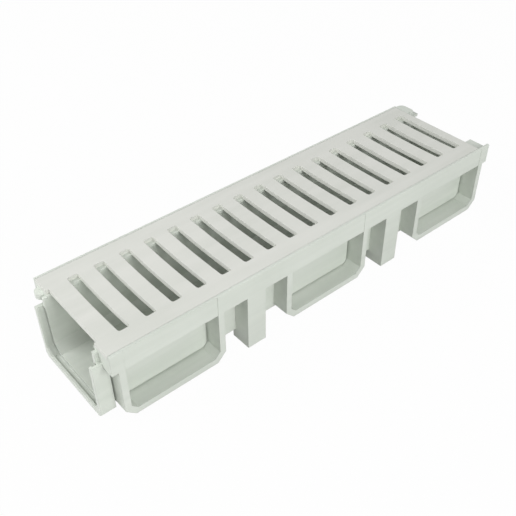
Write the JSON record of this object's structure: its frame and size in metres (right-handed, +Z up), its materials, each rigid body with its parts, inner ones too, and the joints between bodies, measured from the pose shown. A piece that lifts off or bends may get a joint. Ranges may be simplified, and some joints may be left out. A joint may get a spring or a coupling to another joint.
{
  "type": "drainage channel",
  "caption": "Straight plastic drainage channel with a slotted grate lying flush in its rim, U-shaped side frames, box legs and an end collar with a joint slot.",
  "frame": {"origin": "centre of the part's footprint, on the ground", "axes": "+X along the channel from its collar end to its flange end, +Y to the side with the locating tongue, +Z up through the grate"},
  "size_m": [0.5106, 0.13, 0.088],
  "materials": {
    "channel_plastic": "satin moulded polypropylene, light grey with a slight green tint",
    "grate_plastic": "satin moulded polypropylene, light grey"
  },
  "bodies": {
    "root": {"channel_body": "channel_plastic", "grate": "grate_plastic"}
  },
  "joints": []
}
